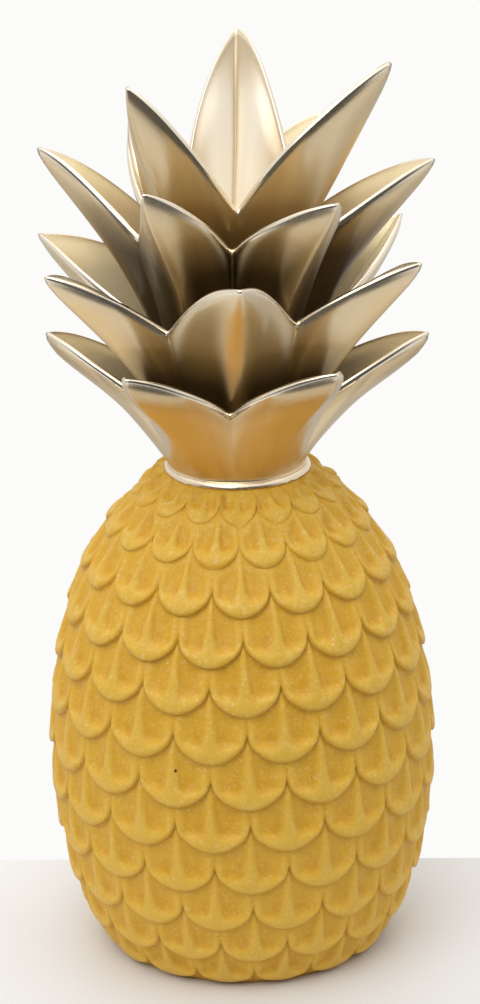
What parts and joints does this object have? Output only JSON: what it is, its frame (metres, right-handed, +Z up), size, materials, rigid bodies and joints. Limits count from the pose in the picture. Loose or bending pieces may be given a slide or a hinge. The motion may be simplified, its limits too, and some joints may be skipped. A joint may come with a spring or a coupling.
{
  "type": "decorative pineapple ornament",
  "caption": "Standing pineapple ornament: an egg-shaped body of overlapping scales under a flaring crown of pointed leaves with an open cup on top.",
  "frame": {"origin": "centre of the flat foot, on the ground", "axes": "+Z up through the crown; -Y is the side that the picture shows"},
  "size_m": [0.132, 0.1372, 0.3116],
  "materials": {
    "yellow_glaze": "matt mustard glaze with fine specks",
    "champagne_gold": "satin champagne-gold metal coating, brighter on the rims"
  },
  "bodies": {
    "root": {"body": "yellow_glaze", "crown": "champagne_gold"}
  },
  "joints": []
}
